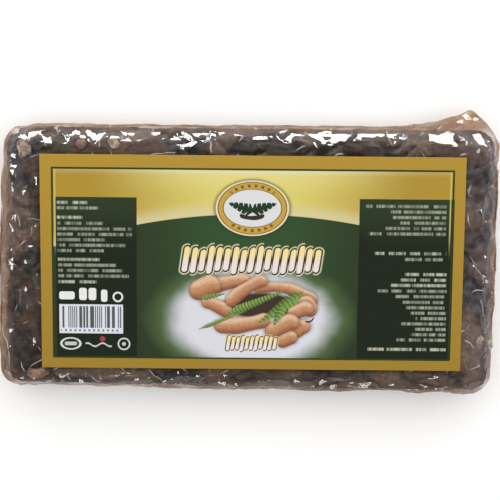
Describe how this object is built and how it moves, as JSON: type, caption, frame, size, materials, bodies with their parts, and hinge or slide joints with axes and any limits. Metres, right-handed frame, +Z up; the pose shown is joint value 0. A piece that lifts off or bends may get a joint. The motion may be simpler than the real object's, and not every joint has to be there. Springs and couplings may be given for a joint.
{
  "type": "wrapped tamarind pulp block",
  "caption": "Pressed slab of dark tamarind pulp in a creased clear film wrap, with a flat printed label in gold and green stuck on its face.",
  "frame": {"origin": "middle of the underside of the whole part's box, on the surface that it lies on", "axes": "+X along the slab's length, to the right of the label's picture; +Y across it, towards the label's upper edge; +Z up, out of the label's face"},
  "size_m": [0.1892, 0.1092, 0.0232],
  "materials": {
    "tamarind_pulp": "dense sticky fruit pulp, dark brown, moist satin with fibres and tan bits",
    "clear_film": "thin clear plastic food film, glossy, creased",
    "printed_label": "printed coated paper, smooth with a slight sheen",
    "shell_chip": "dry brittle fruit shell, matt tan"
  },
  "bodies": {
    "root": {"pulp_block": "tamarind_pulp", "film_wrap": "clear_film", "label": "printed_label", "shell_chip_1": "shell_chip", "shell_chip_2": "shell_chip", "shell_chip_3": "shell_chip", "shell_chip_4": "shell_chip", "shell_chip_5": "shell_chip"}
  },
  "joints": []
}
